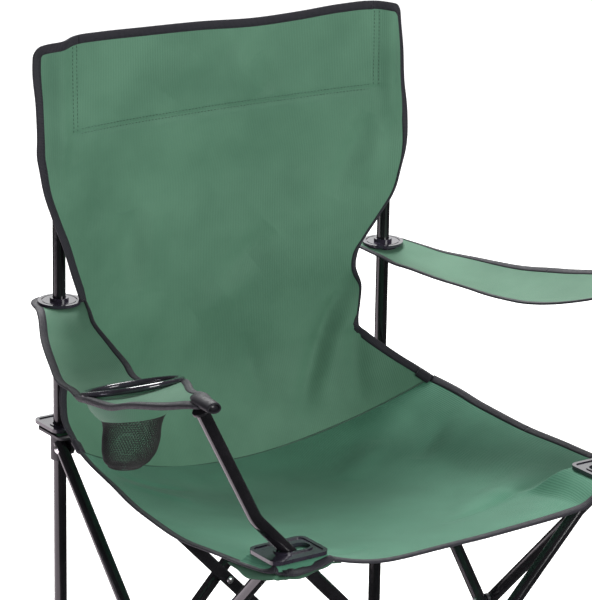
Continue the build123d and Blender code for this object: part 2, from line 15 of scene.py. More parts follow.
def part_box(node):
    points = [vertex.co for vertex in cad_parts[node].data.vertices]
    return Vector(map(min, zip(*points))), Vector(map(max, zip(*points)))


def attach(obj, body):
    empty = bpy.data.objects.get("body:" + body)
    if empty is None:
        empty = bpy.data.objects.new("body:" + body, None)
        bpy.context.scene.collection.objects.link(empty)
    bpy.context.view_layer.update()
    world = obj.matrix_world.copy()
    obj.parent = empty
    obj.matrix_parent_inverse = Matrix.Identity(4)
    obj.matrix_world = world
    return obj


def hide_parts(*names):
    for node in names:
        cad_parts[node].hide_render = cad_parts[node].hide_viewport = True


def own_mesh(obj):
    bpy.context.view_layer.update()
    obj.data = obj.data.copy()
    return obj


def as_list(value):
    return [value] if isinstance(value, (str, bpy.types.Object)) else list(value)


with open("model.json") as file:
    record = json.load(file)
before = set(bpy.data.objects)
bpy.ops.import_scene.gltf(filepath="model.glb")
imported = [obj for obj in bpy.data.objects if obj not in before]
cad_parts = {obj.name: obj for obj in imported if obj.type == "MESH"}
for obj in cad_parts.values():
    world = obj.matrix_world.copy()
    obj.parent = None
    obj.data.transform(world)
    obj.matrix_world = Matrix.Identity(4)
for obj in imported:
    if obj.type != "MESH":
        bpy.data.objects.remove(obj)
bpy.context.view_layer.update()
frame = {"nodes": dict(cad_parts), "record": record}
nodes = frame["nodes"]

MM = 0.001

# Camera
PHOTO_WIDTH = 592
SENSOR_WIDTH = 36.0
FOCAL_PIXELS = 3515.71
CAMERA_PLACE = Vector((-2.19586, -3.09299, 1.8559))
CAMERA_AZIMUTH = -34.67
CAMERA_ELEVATION = 17.59
CAMERA_ROLL = 0.95

# Bodies, and the distance of the posts from the chair's middle
ROOT = "post_right"
FAR_POST = "post_left"
FRONT_CORNER = "corner_front_right"
POST_X = 229.0

# Cloth
CLOTH = 1.4
TAPE = 9.0
TAPE_ROUND = 1.9
TAPE_LAP = 3.0
SEAM_R = 1.1
SEAM_LIFT = 0.7
SEAM_INSET = 2.0
KNOT_LENGTH = 16.0
KNOT_WIDER = 2.0
KNOT_THICK = 2.4
STITCH = 3.0
STITCH_STEP = 4.6
STITCH_R = 0.42
STITCH_SINK = 0.6
STITCH_SIDES = 6
# Thickness of a stitch at shares of its length
STITCH_SHAPE = ((0.0, 0.35), (0.25, 1.0), (0.75, 1.0), (1.0, 0.35))
# Section of a binding tape from its upper inner edge round its lip to its lower inner edge, as share of the width
# inwards, distance inwards and height
TAPE_SECTION = (
    (1, 0, 1.0), (0.6, 0, 1.25), (0.2, 0, 1.5), (0, -0.4, 1.35), (0, -0.7 * TAPE_ROUND, 0.8),
    (0, -0.85 * TAPE_ROUND, 0.0),
    (0, -0.7 * TAPE_ROUND, -0.8), (0, -0.4, -1.35), (0.2, 0, -1.5), (0.6, 0, -1.25), (1, 0, -1.0),
)
FOLD_TAPER = 2.5
BEAD_SIDES = 8
SIDES = ((-1, "right"), (1, "left"))


def keyed(keys):
    """Smooth curve through rows of keys, whose first column is the parameter."""
    table = np.array(keys, float)
    at, values = table[:, 0], table[:, 1:]
    slopes = np.gradient(values, at, axis=0)

    def value(q):
        q = np.clip(np.asarray(q, float), at[0], at[-1])
        i = np.clip(np.searchsorted(at, q, side="right") - 1, 0, len(at) - 2)
        step = (at[i + 1] - at[i])[..., None]
        r = ((q - at[i]) / (at[i + 1] - at[i]))[..., None]
        start = values[i] * (2 * r**3 - 3 * r**2 + 1) + slopes[i] * step * (r**3 - 2 * r**2 + r)
        end = values[i + 1] * (3 * r**2 - 2 * r**3) + slopes[i + 1] * step * (r**3 - r**2)
        return start + end

    return value


def smooth(low, high, q):
    """Smooth step from 0 at low to 1 at high."""
    r = np.clip((q - low) / (high - low), 0, 1)
    return r * r * (3 - 2 * r)


def unit(v):
    """Vectors of length 1."""
    return v / np.maximum(np.linalg.norm(v, axis=-1, keepdims=True), 1e-9)


def bell(gap, width):
    """Soft bump: 1 where the gap is 0, falling off over a width."""
    return np.exp(-((gap / width) ** 2))


def ripple(a, b, height, a_first, b_first, b_second, a_second):
    """Uneven low waves over two parameters: two sine waves that cross."""
    return height * np.sin(a / a_first + b / b_first) * np.sin(b / b_second - a / a_second)


def run_length(line):
    """Distance along a line to each of its points."""
    return np.concatenate([[0], np.cumsum(np.linalg.norm(np.diff(line, axis=0), axis=1))])


def ring_turns(sides):
    """Angles of the points of a ring."""
    return np.arange(sides) * 2 * math.pi / sides


def tube_faces(count, sides):
    """Faces of a closed tube of rings of points: its walls and its two ends."""
    faces = []
    for i in range(count - 1):
        for j in range(sides):
            a, b, k = i * sides, (i + 1) * sides, (j + 1) % sides
            faces.append((a + j, b + j, b + k, a + k))
    last = (count - 1) * sides
    return faces + [tuple(range(sides)), tuple(range(last, last + sides))]


def ridge(x, z, points, height, width):
    """A soft fold along a line of points: its height falls off across the line and towards both its ends."""
    points = np.array(points, float)
    runs = np.diff(points, axis=0)
    lengths = np.linalg.norm(runs, axis=1)
    starts = run_length(points)
    best = np.full(np.shape(x), np.inf)
    along = np.zeros(np.shape(x))
    for p, run, length, start in zip(points, runs, lengths, starts):
        t = np.clip(((x - p[0]) * run[0] + (z - p[1]) * run[1]) / length**2, 0, 1)
        gap = np.hypot(x - p[0] - t * run[0], z - p[1] - t * run[1])
        nearer = gap < best
        best = np.where(nearer, gap, best)
        along = np.where(nearer, (start + t * length) / starts[-1], along)
    return height * bell(best, width) * (1 - np.abs(2 * along - 1) ** FOLD_TAPER)


# Back: rows by distance from the top, as chord depth, chord height, sag and turn of the sag
BACK_ROWS = keyed([
    (0, 227, 939, 4, 0),
    (60, 227, 878.5, 7, 0),
    (110, 225, 828, 12, 0),
    (150, 217, 788, 26, 0),
    (190, 209, 748, 42, 0),
    (247, 212, 691, 38, 0),
    (297, 218, 641, 30, 0),
    (331, 222, 607, 25, 0),
    (377, 221, 561, 27, 0),
    (412, 213, 527, 37, 25),
    (448, 190, 500, 56, 50),
    (497, 148, 475, 91, 55),
])
# Half widths of the back, right side then left side, by distance from the top
BACK_WIDTHS = keyed([
    (0, 261, 241),
    (16, 262, 243),
    (78, 258, 250),
    (110, 258, 251),
    (133, 260.5, 251.5),
    (150, 259, 250.5),
    (175, 256.5, 247),
    (209, 246, 238),
    (242, 232, 229.5),
    (270, 221.5, 210.5),
    (290, 213.5, 196),
    (305, 207.5, 186.5),
    (318, 202, 183),
    (331, 197, 182.5),
    (355, 195, 190.5),
    (377, 210, 188.5),
    (398, 227, 185),
    (406, 233.5, 185.5),
    (414, 237, 193.5),
    (425, 241, 202),
    (448, 248, 220),
    (470, 250, 235),
    (497, 252, 250),
])
# Width of the edge tape by distance from the top, right side then left side, narrow where the edge turns away
EDGE_TAPE = {
    -1: ((0, 300, 325, 350, 497), (9, 9, 5, 9, 9)),
    1: ((0, 140, 205, 300, 315, 342, 358, 392, 404, 497), (8.5, 8.5, 2, 1.8, 4.5, 4.5, 1.8, 1.8, 8.5, 8.5)),
}
SLEEVE_X = 205.0
# Drop of the top hem below its highest point, across the back
TOP_DROP = keyed([
    (-275, 12),
    (-252, 7.5),
    (-239, 5),
    (-223, 2.4),
    (-206, 0.4),
    (-174, 0.4),
    (-120, 2.2),
    (-39, 5),
    (39, 9.6),
    (98, 9),
    (158, 6.6),
    (199, 7.2),
    (224, 10.5),
    (242, 15.5),
    (262, 21),
])
POST_BULGE = 8.5
POST_BULGE_WIDTH = 13.0
SLEEVE_END = 112.0
BACK_LENGTH = 497.0
CORNER_ROUND = 10.0
# Below the sleeves the back hangs free: rows over which it comes loose, and the least half width of its sag
LOOSE_ROWS = (102.0, 185.0)
SAG_LEAST = 180.0
DROP_FADE = 90.0
BACK_RIPPLE = (0.9, 31, 47, 39, 83)
BACK_RIPPLE_START = 60.0
# Groove along the header's stitching, which fades at the posts
GROOVE = 1.6
GROOVE_WIDTH = 4.0
GROOVE_FADE = (208.0, 236.0)
# Folds as lines of x and z, with height and width
BACK_FOLDS = (
    ([(-31, 571), (54, 625)], 5, 20),
    ([(41, 540), (54, 455)], -3.5, 13),
    ([(189, 597), (158, 552), (129, 492), (93, 434)], -11, 13),
    ([(205, 612), (180, 566), (150, 505), (118, 445)], 7, 13),
    ([(188, 534), (168, 440)], -5, 11),
    ([(-223, 815), (-214, 790)], -1.6, 9),
    ([(216, 772), (236, 784)], -1.2, 10),
    ([(-120, 520), (-60, 450)], 4, 22),
    ([(-150, 640), (-90, 560)], 3, 24),
    ([(120, 740), (150, 660)], 2.5, 24),
    ([(204, 795), (180, 747), (153, 696)], -5.0, 14),
    ([(216, 790), (208, 749), (194, 704)], 3.4, 12),
    ([(4, 896), (24, 874), (51, 840)], 4.2, 16),
    ([(38, 882), (68, 838)], -4.4, 14),
    ([(-46, 899), (-80, 852)], 2.8, 18),
    ([(-129, 720), (-133, 620)], -5.5, 18),
    ([(-97, 725), (-99, 615)], 4.0, 18),
    ([(75, 668), (3, 602)], -5.5, 18),
    ([(-173, 738), (-205, 706)], -2.8, 14),
)


def back_surface(x, p):
    """Point of the back at x across and p down from the top hem."""
    depth, height, sag, turn = np.moveaxis(BACK_ROWS(p), -1, 0)
    right, left = np.moveaxis(BACK_WIDTHS(p), -1, 0)
    wide = np.maximum(np.where(x < 0, right, left), SAG_LEAST)
    inside = np.minimum(np.abs(x) / SLEEVE_X, 1)
    held = sag * (1 - inside**2) - POST_BULGE * bell(np.abs(x) - POST_X, POST_BULGE_WIDTH)
    free = sag * (1 - (x / wide) ** 2)
    loose = smooth(*LOOSE_ROWS, p)
    hang = held * (1 - loose) + free * loose
    drop = TOP_DROP(x)[..., 0] * (1 - smooth(0, DROP_FADE, p))
    back, down = np.cos(np.radians(turn)), np.sin(np.radians(turn))
    z = height - drop - hang * down
    for points, amount, width in BACK_FOLDS:
        hang = hang - ridge(x, z, points, amount, width)
    hang = hang + ripple(x, p, *BACK_RIPPLE) * smooth(0, BACK_RIPPLE_START, p)
    hang = hang + GROOVE * bell(p - SLEEVE_END, GROOVE_WIDTH) * (1 - smooth(*GROOVE_FADE, np.abs(x)))
    return np.stack([x, depth + hang * back, height - drop - hang * down], -1) * MM


# Seat: rows by share of the way from the seam to the front, as edge x, edge y, edge z, middle y and middle z
SEAT_ROWS = keyed([
    (0.00, 252, 148, 475, 200, 400.5),
    (0.12, 259, 105, 470, 150, 397),
    (0.25, 262, 60, 463, 90, 399),
    (0.42, 269, -10, 456, 10, 405),
    (0.60, 274, -95, 455, -75, 416),
    (0.78, 271, -180, 461, -155, 428),
    (0.90, 270, -238, 467, -207, 437),
    (1.00, 261, -282, 467.5, -246, 443),
])
SEAT_LENGTH = 470.0
SEAT_SPLIT = 0.44
SEAT_HEM = 0.80
# Clamped cloth under the front plates, with the room in which it comes free on the right and on the left
PLATE_X = 226.0
PLATE_Y = (-239.0, -219.0)
PLATE_HALF_X = 31.0
PLATE_HALF_Y = 22.0
PLATE_ROOM = (12.0, 40.0)
PLATE_CLOTH_Z = 474.6
# Shares of the length over which the rows take the hem's shape, and the power of the rows' bow across the seat
HEM_SHAPE = (0.75, 0.95)
BOW = 2.0
HEM_BOW = 1.5
# Rise of the hem on the right and on the left: the share across at which it is done, and its power
HEM_RISE = ((0.70, 3), (0.80, 2))
HEM_START = 0.982
HEM_DROP = 0.8
CORNER_PULL = 9.0
CORNER_REACH = (0.05, 0.03)
SEAT_RIPPLE = (0.8, 37, 29, 51, 43)
SEAT_RIPPLE_START = 0.1
# Folds as lines of x and y, with height and width
SEAT_FOLDS = (
    ([(-190, -200), (-120, -110)], 2.5, 12),
    ([(-185, -225), (-90, -190)], -2.5, 10),
    ([(190, -200), (125, -110)], 2.5, 12),
    ([(-235, 95), (-150, 60)], 3, 12),
    ([(-215, 120), (-120, 110)], -3, 9),
    ([(150, 120), (60, 60)], 3, 20),
    ([(230, 90), (150, 40)], -3, 14),
    ([(30, -168), (110, -152), (216, -133)], -3.5, 8),
    ([(70, -128), (150, -118), (225, -100)], 3, 15),
)


def seat_surface(u, s):
    """Point of the seat at share u across, from -1 to 1, and share s of the way to the front edge."""
    xe, ye, ze, yc, zc = np.moveaxis(SEAT_ROWS(s), -1, 0)
    x = u * xe
    flat = smooth(*HEM_SHAPE, s)
    y = yc + (ye - yc) * np.abs(u) ** (BOW + (HEM_BOW - BOW) * flat)
    rise = np.where(u < 0, *(np.abs(u / share) ** power for share, power in HEM_RISE))
    across = (1 - flat) * u**2 + flat * np.minimum(rise, 1)
    z = zc + (ze - zc) * across
    plate_y = np.where(x < 0, *PLATE_Y)
    reach = np.maximum(np.abs(np.abs(x) - PLATE_X) - PLATE_HALF_X, np.abs(y - plate_y) - PLATE_HALF_Y)
    clamp = 1 - smooth(0, 1, reach / np.where(x < 0, *PLATE_ROOM))
    z = z + (PLATE_CLOTH_Z - z) * clamp
    for points, amount, width in SEAT_FOLDS:
        z = z + ridge(x, y, points, amount, width) * (1 - clamp)
    z = z + ripple(x, y, *SEAT_RIPPLE) * (1 - clamp) * smooth(0, SEAT_RIPPLE_START, s)
    end = np.maximum((s - HEM_START) / (1 - HEM_START), 0)
    pull = CORNER_PULL * bell(1 - np.abs(u), CORNER_REACH[0]) * bell(1 - s, CORNER_REACH[1])
    return np.stack([x - np.sign(u) * pull, y + pull, z - HEM_DROP * end**2], -1) * MM


# Armrests: rows by y, as distance of the middle line from the chair's middle, height, width, tilt and crown
ARM_RIGHT = [
    (262, 229, 626, 62, 0, 0),
    (229, 229, 626, 64, 0, 0),
    (200, 240, 624.5, 66, 0, -1),
    (165, 255, 614, 70, -3, -2),
    (120, 265, 600.5, 82, -4, -3),
    (80, 274, 593, 90, -3, -3),
    (50, 279, 590, 86, 0, -2),
    (28, 281.5, 590.5, 93, 0, -1),
    (0, 287, 598.8, 108, 0, 0),
    (-35, 293, 610, 124, 0, 0),
    (-70, 303, 619.5, 112, -4, 0),
    (-98, 312, 627, 98, -6, 0),
    (-129, 320.5, 636, 81, -4.5, 1),
    (-160, 329, 644.5, 62, -4.5, 1.5),
    (-195, 336, 654, 42, -4.5, 2),
    (-228, 337, 662.5, 26, -4, 2),
    (-246, 337, 664.5, 16, -2, 1),
]
ARM_LEFT = [
    (262, 229, 626, 62, 0, 0),
    (229, 229, 626, 64, 0, 0),
    (200, 238, 622.5, 68, 1, 0),
    (175, 244, 620, 74, 2, -2),
    (150, 250, 620, 80, 2, -4),
    (100, 261, 621, 90, 3, -7),
    (50, 274, 622.5, 98, 5, -9),
    (28, 280, 624, 100, 7, -9),
    (0, 286, 627, 102, 9, -8),
    (-35, 293, 631.4, 104, 11, -6),
    (-98, 311, 642, 94, 7, -3),
    (-150, 326, 654, 66, 2, 0),
    (-185, 335, 662, 44, 0, 1),
    (-208, 337, 664.5, 25, 0, 2),
    (-226, 337, 665, 15, 0, 1),
]
# Width of the arm tapes at the washer, at the low middle and at the tip
ARM_TAPES = {
    (-1, "inner"): (2.0, 7.5, 7.0),
    (-1, "outer"): (8.0, 8.0, 8.0),
    (1, "inner"): (4.0, 6.5, 9.0),
    (1, "outer"): (2.0, 8.5, 9.0),
}
# Thickness of the right armrest's outer tape, turned down along the cup ring, by distance to the front
ARM_EDGE = ((-40, 0, 40, 190, 246), (1.0, 2.0, 2.4, 2.2, 1.6))
ARM_LOW_Y = 28.0
ARM_END_Y = 262.0
ARM_END_ROUND = 33.0
ARM_END_SHARE = 0.9
ARM_RIPPLE = (0.7, 1 / 1.7, 23, 41, 1)
ARM_STEPS = (0.01, 0.5)
ARM_UV = (0.05, MM)
# Flat size of an armrest half: its width, and the spare in its area and length over the straight measures
ARM_AREA_SPARE = 1.03


def arm_surface(rows, side):
    """Surface of one armrest by share across, inner edge to outer edge, and y."""
    flipped = keyed([(-row[0], *row[1:]) for row in rows])

    def surface(u, y):
        middle, height, width, tilt, crown = np.moveaxis(flipped(-y), -1, 0)
        past = np.clip((y - ARM_END_Y + ARM_END_ROUND) / ARM_END_ROUND, 0, ARM_END_SHARE)
        x = side * (middle + u * width / 2 * np.sqrt(1 - past**2))
        z = height + tilt * u + crown * (1 - u**2)
        return np.stack([x, y, z + ripple(u, y, *ARM_RIPPLE)], -1) * MM

    return surface


def on_surface(surface, a, b, steps):
    """Points of a surface and its unit normals there, towards the sitter."""
    da = surface(a + steps[0], b) - surface(a - steps[0], b)
    db = surface(a, b + steps[1]) - surface(a, b - steps[1])
    return surface(a, b), unit(np.cross(db, da))


def turn_outward(mesh):
    """Turns the faces of closed shapes outward."""
    work = bmesh.new()
    work.from_mesh(mesh)
    bmesh.ops.recalc_face_normals(work, faces=work.faces[:])
    work.to_mesh(mesh)
    work.free()


def add_object(name, points, faces, body, material, uv=None, normals=None):
    """New smooth mesh piece on a body."""
    mesh = bpy.data.meshes.new(name)
    mesh.from_pydata([tuple(p) for p in points], [], faces)
    if normals is None:
        turn_outward(mesh)
    mesh.update()
    mesh.shade_smooth()
    if uv is not None:
        layer = mesh.uv_layers.new(name="UVMap")
        corners = np.zeros(len(mesh.loops), int)
        mesh.loops.foreach_get("vertex_index", corners)
        layer.data.foreach_set("uv", np.asarray(uv)[corners].ravel())
    if normals is not None:
        mesh.normals_split_custom_set_from_vertices([tuple(n) for n in normals])
    obj = bpy.data.objects.new(name, mesh)
    bpy.context.scene.collection.objects.link(obj)
    mesh.materials.append(material)
    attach(obj, body)
    return obj


def cloth_sheet(name, surface, a, b, steps, body, material, uv_scale, flip=False, hole=None):
    """Sheet of cloth with two faces and closed edges over a grid of a surface's two parameters."""
    points, normals = on_surface(surface, a, b, steps)
    if flip:
        normals = -normals
    rows, columns = a.shape
    count = rows * columns
    flat = points.reshape(-1, 3)
    across = normals.reshape(-1, 3)
    if hole is not None:
        flat, kept = hole(flat, rows, columns)
    else:
        kept = np.ones((rows - 1, columns - 1), bool)
    verts = np.concatenate([flat + across * CLOTH * MM / 2, flat - across * CLOTH * MM / 2])
    index = np.arange(count).reshape(rows, columns)
    rings = np.stack([index[:-1, :-1], index[1:, :-1], index[1:, 1:], index[:-1, 1:]], -1)[kept]
    middle = rings[len(rings) // 2]
    facing = np.cross(flat[middle[1]] - flat[middle[0]], flat[middle[2]] - flat[middle[0]])
    if facing @ across[middle[0]] < 0:
        rings = rings[:, ::-1]
    quads = [tuple(int(k) for k in ring) for ring in rings]
    faces = quads + [tuple(k + count for k in reversed(q)) for q in quads]
    edges = {(q[k], q[(k + 1) % 4]) for q in quads for k in range(4)}
    for start, end in sorted(edges):
        if (end, start) not in edges:
            faces.append((end, start, start + count, end + count))
    uv = np.stack([a * uv_scale[0], b * uv_scale[1]], -1).reshape(-1, 2)
    both = np.concatenate([across, -across])
    obj = add_object(name, verts, faces, body, material, np.concatenate([uv, uv]), both)
    drop_loose(obj)
    return obj


def drop_loose(obj):
    """Deletes vertices that no face uses."""
    mesh = obj.data
    used = np.zeros(len(mesh.vertices), bool)
    corners = np.zeros(len(mesh.loops), int)
    mesh.loops.foreach_get("vertex_index", corners)
    used[corners] = True
    if used.all():
        return
    work = bmesh.new()
    work.from_mesh(mesh)
    spare = [v for v in work.verts if not v.link_faces]
    bmesh.ops.delete(work, geom=spare, context="VERTS")
    work.to_mesh(mesh)
    work.free()


def tape(name, edge, normals, body, inward_sign, width=TAPE, thick=1.0):
    """Binding tape folded over a cloth edge, with a rounded outer lip."""
    run = unit(np.gradient(edge, axis=0))
    inward = unit(np.cross(normals, run)) * inward_sign
    width, thick = (np.broadcast_to(np.asarray(v, float), len(edge))[:, None] for v in (width, thick))
    rings = np.stack([edge + inward * (width * share + out) * MM + normals * k * thick * MM
                      for share, out, k in TAPE_SECTION], 1)
    count, sides = rings.shape[:2]
    around = np.linspace(0, 2 * TAPE * MM, sides)
    uv = np.stack(np.broadcast_arrays(run_length(edge)[:, None], around[None, :]), -1).reshape(-1, 2)
    return add_object(name, rings.reshape(-1, 3), tube_faces(count, sides), body, binding, uv)


def bead(name, line, radius, body, material):
    """Thin round welt along a line."""
    run = unit(np.gradient(line, axis=0))
    side = unit(np.cross(run, np.array([0.0, 0.0, 1.0])))
    up = np.cross(side, run)
    turns = ring_turns(BEAD_SIDES)
    out = side[:, None] * np.cos(turns)[None, :, None] + up[:, None] * np.sin(turns)[None, :, None]
    rings = line[:, None] + out * radius * MM
    return add_object(name, rings.reshape(-1, 3), tube_faces(len(line), BEAD_SIDES), body, material)


def stitches(name, line, normals, body):
    """Row of short raised thread stitches along a line on cloth."""
    length = run_length(line)
    starts = np.arange(STITCH_STEP / 2, length[-1] / MM - STITCH, STITCH_STEP) * MM
    turns = ring_turns(STITCH_SIDES)
    one = tube_faces(len(STITCH_SHAPE), STITCH_SIDES)
    points, faces = [], []

    def at(values, q):
        return np.array([np.interp(q, length, values[:, k]) for k in range(3)])

    for start in starts:
        a, b = at(line, start), at(line, start + STITCH * MM)
        up = unit(at(normals, start + STITCH * MM / 2))
        side = np.cross(up, unit(b - a))
        base = len(points)
        for share, swell in STITCH_SHAPE:
            centre = a + (b - a) * share + up * (CLOTH / 2 + STITCH_R * (swell - STITCH_SINK)) * MM
            for turn in turns:
                out = side * math.cos(turn) + up * math.sin(turn)
                points.append(centre + out * STITCH_R * swell * MM)
        faces += [tuple(base + k for k in face) for face in one]
    return add_object(name, points, faces, body, thread_green)


# Materials
def shader(name):
    """New node material and its Principled shader."""
    material = bpy.data.materials.new(name)
    material.use_nodes = True
    tree = material.node_tree
    return material, tree, tree.nodes["Principled BSDF"]


def put(tree, value, socket):
    """Gives an input socket its value; a socket as the value is linked."""
    if isinstance(value, bpy.types.NodeSocket):
        tree.links.new(value, socket)
    else:
        socket.default_value = value


def fill(tree, made, **inputs):
    """Sets a node's inputs by name."""
    for key, value in inputs.items():
        put(tree, value, made.inputs[key.replace("_", " ")])


def node(tree, kind, **inputs):
    """New shader node with its inputs set by name."""
    made = tree.nodes.new(kind)
    fill(tree, made, **inputs)
    return made


def mixed(tree, share, low, high):
    """Colour between two, by a share socket."""
    mix = tree.nodes.new("ShaderNodeMix")
    mix.data_type = "RGBA"
    tree.links.new(share, mix.inputs["Factor"])
    for name, colour in (("A", low), ("B", high)):
        socket = [s for s in mix.inputs if s.name == name and s.type == "RGBA"][0]
        socket.default_value = (*colour, 1)
    return [s for s in mix.outputs if s.type == "RGBA"][0]


def ranged(tree, value, low, high, out_low, out_high):
    """Maps a value socket from one range to another."""
    made = node(tree, "ShaderNodeMapRange", Value=value, From_Min=low, From_Max=high, To_Min=out_low, To_Max=out_high)
    return made.outputs["Result"]


def bumped(tree, skin, height, strength, distance):
    """Adds a bump to a shader from a height socket."""
    bump = node(tree, "ShaderNodeBump", Height=height, Strength=strength, Distance=distance)
    fill(tree, skin, Normal=bump.outputs["Normal"])


def computed(tree, operation, *values):
    """Result of an operation on sockets or numbers."""
    made = tree.nodes.new("ShaderNodeMath")
    made.operation = operation
    for socket, value in zip(made.inputs, values):
        put(tree, value, socket)
    return made.outputs[0]


def added(tree, a, b, share):
    """a + b times share."""
    return computed(tree, "MULTIPLY_ADD", b, share, a)


def chosen(tree, share, usual, other):
    """Mix of two shaders: the usual one where the share socket is 0, the other one where it is 1."""
    mix = tree.nodes.new("ShaderNodeMixShader")
    for socket, value in zip(mix.inputs, (share, usual, other)):
        tree.links.new(value, socket)
    return mix.outputs[0]


def waves(tree, vector, turn, period):
    """Bands of a period in metres across a turned UV direction."""
    place = node(tree, "ShaderNodeMapping", Vector=vector, Rotation=(0, 0, turn))
    band = node(tree, "ShaderNodeTexWave", Vector=place.outputs["Vector"], Scale=2 * math.pi / (20 * period),
                Distortion=0.35, Detail=1.0)
    return band.outputs["Fac"]


def cloth_material(name, dark, light, weave_depth, rib_share):
    """Woven polyester: ribs, threads, cloudy colour and a soft sheen."""
    material, tree, skin = shader(name)
    uv = tree.nodes.new("ShaderNodeTexCoord").outputs["UV"]
    place = tree.nodes.new("ShaderNodeNewGeometry").outputs["Position"]
    cloud = node(tree, "ShaderNodeTexNoise", Vector=place, Scale=9.0, Detail=4.0, Roughness=0.55)
    thread = node(tree, "ShaderNodeTexNoise", Vector=place, Scale=900.0, Detail=2.0)
    ribs = waves(tree, uv, 0.0, 0.0023)
    weft = waves(tree, uv, math.pi / 2, 0.0011)
    shade = ranged(tree, cloud.outputs["Fac"], 0.35, 0.65, 0.3, 0.7)
    shade = added(tree, shade, ribs, rib_share)
    shade = added(tree, shade, thread.outputs["Fac"], 0.20)
    colour = mixed(tree, ranged(tree, shade, 0.25, 1.1, 0, 1), dark, light)
    rough = ranged(tree, thread.outputs["Fac"], 0.3, 0.7, 0.58, 0.7)
    fill(tree, skin, Base_Color=colour, Roughness=rough, Sheen_Weight=0.08, Sheen_Roughness=0.4,
         Specular_IOR_Level=0.18)
    height = added(tree, ribs, weft, 0.5)
    height = added(tree, height, thread.outputs["Fac"], 0.4)
    bumped(tree, skin, height, weave_depth, 0.0004)
    return material


def tape_material():
    """Dark grosgrain tape with fine cross ribs."""
    material, tree, skin = shader("binding_tape")
    uv = tree.nodes.new("ShaderNodeTexCoord").outputs["UV"]
    place = tree.nodes.new("ShaderNodeNewGeometry").outputs["Position"]
    ribs = waves(tree, uv, 0.0, 0.0017)
    fuzz = node(tree, "ShaderNodeTexNoise", Vector=place, Scale=220.0, Detail=3.0)
    shade = added(tree, ribs, fuzz.outputs["Fac"], 0.8)
    colour = mixed(tree, ranged(tree, shade, 0.2, 1.6, 0, 1), (0.008, 0.008, 0.012), (0.030, 0.028, 0.038))
    rough = ranged(tree, fuzz.outputs["Fac"], 0.3, 0.7, 0.5, 0.68)
    fill(tree, skin, Base_Color=colour, Roughness=rough, Sheen_Weight=0.06, Specular_IOR_Level=0.3)
    bumped(tree, skin, shade, 0.6, 0.0004)
    return material


def coated_material(name, dark, light, rough, coat, grain, depth):
    """Enamelled tube or moulded plastic: faint mottling in colour, gloss and surface."""
    material, tree, skin = shader(name)
    place = tree.nodes.new("ShaderNodeNewGeometry").outputs["Position"]
    mottle = node(tree, "ShaderNodeTexNoise", Vector=place, Scale=grain, Detail=5.0, Roughness=0.6)
    smear = node(tree, "ShaderNodeTexNoise", Vector=place, Scale=24.0, Detail=3.0)
    colour = mixed(tree, ranged(tree, smear.outputs["Fac"], 0.35, 0.65, 0, 1), dark, light)
    uneven = ranged(tree, mottle.outputs["Fac"], 0.3, 0.7, rough * 0.8, rough * 1.25)
    fill(tree, skin, Base_Color=colour, Roughness=uneven, Coat_Weight=coat, Coat_Roughness=0.12)
    bumped(tree, skin, mottle.outputs["Fac"], depth, 0.0002)
    return material


def metal_material():
    """Bright rivets with faint brushing."""
    material, tree, skin = shader("rivet_steel")
    place = tree.nodes.new("ShaderNodeNewGeometry").outputs["Position"]
    mottle = node(tree, "ShaderNodeTexNoise", Vector=place, Scale=500.0, Detail=3.0)
    colour = mixed(tree, mottle.outputs["Fac"], (0.62, 0.61, 0.62), (0.86, 0.85, 0.86))
    uneven = ranged(tree, mottle.outputs["Fac"], 0.3, 0.7, 0.2, 0.36)
    fill(tree, skin, Base_Color=colour, Metallic=1.0, Roughness=uneven)
    return material


GREEN_DARK = (0.056, 0.141, 0.089)
GREEN_LIGHT = (0.106, 0.231, 0.152)
green = cloth_material("green_cloth", GREEN_DARK, GREEN_LIGHT, 0.22, 0.13)
# The seat's copy of the same green cloth, greener and brighter than the back's: painted light that stands in for the
# light falling on the seat.
SEAT_DARK_WITH_PAINTED_LIGHT = (0.046, 0.153, 0.096)
SEAT_LIGHT_WITH_PAINTED_LIGHT = (0.088, 0.250, 0.164)
seat_green_with_painted_light = cloth_material("green_seat_cloth_with_painted_light", SEAT_DARK_WITH_PAINTED_LIGHT, SEAT_LIGHT_WITH_PAINTED_LIGHT, 0.5, 0.3)
thread_green = coated_material("green_thread", (0.026, 0.074, 0.047), (0.054, 0.135, 0.09), 0.6, 0.0, 600.0, 0.2)
welt_green = coated_material("green_welt", (0.022, 0.066, 0.042), (0.04, 0.10, 0.066), 0.6, 0.0, 600.0, 0.2)
binding = tape_material()
enamel = coated_material("black_enamel", (0.004, 0.004, 0.005), (0.009, 0.008, 0.010), 0.15, 0.2, 240.0, 0.06)
moulded = coated_material("black_moulding", (0.010, 0.009, 0.012), (0.020, 0.018, 0.023), 0.36, 0.0, 700.0, 0.2)
gloss = coated_material("gloss_moulding", (0.014, 0.012, 0.019), (0.030, 0.026, 0.040), 0.17, 0.4, 420.0, 0.1)
shiny = coated_material("gloss_ring", (0.02, 0.018, 0.025), (0.04, 0.036, 0.05), 0.1, 1.0, 420.0, 0.06)
net = coated_material("black_net", (0.010, 0.012, 0.011), (0.03, 0.033, 0.031), 0.6, 0.0, 900.0, 0.3)
steel = metal_material()
SLOT_MATERIALS = {
    "frame_steel": enamel,
    "cap_plastic": moulded,
    "rivet_steel": steel,
    "moulding": moulded,
    "gloss_moulding": gloss,
    "spacer_plastic": moulded,
    "ring_plastic": shiny,
    "mesh": net,
    "cloth": green,
}
for part in frame["record"]["subparts"]:
    mesh = nodes[part["node"]].data
    mesh.materials.clear()
    mesh.materials.append(SLOT_MATERIALS[part["material_slot"]])


def grid(a_values, b_values):
    """Grid of two parameters, with one row for each b."""
    return np.meshgrid(np.asarray(a_values, float), np.asarray(b_values, float))


def back_half_width(p, side):
    """Half width of the back on one side, with the top corner rounded."""
    wide = BACK_WIDTHS(p)[..., 0 if side < 0 else 1]
    turn = np.clip(CORNER_ROUND - p, 0, CORNER_ROUND)
    return wide - CORNER_ROUND + np.sqrt(CORNER_ROUND**2 - turn**2)


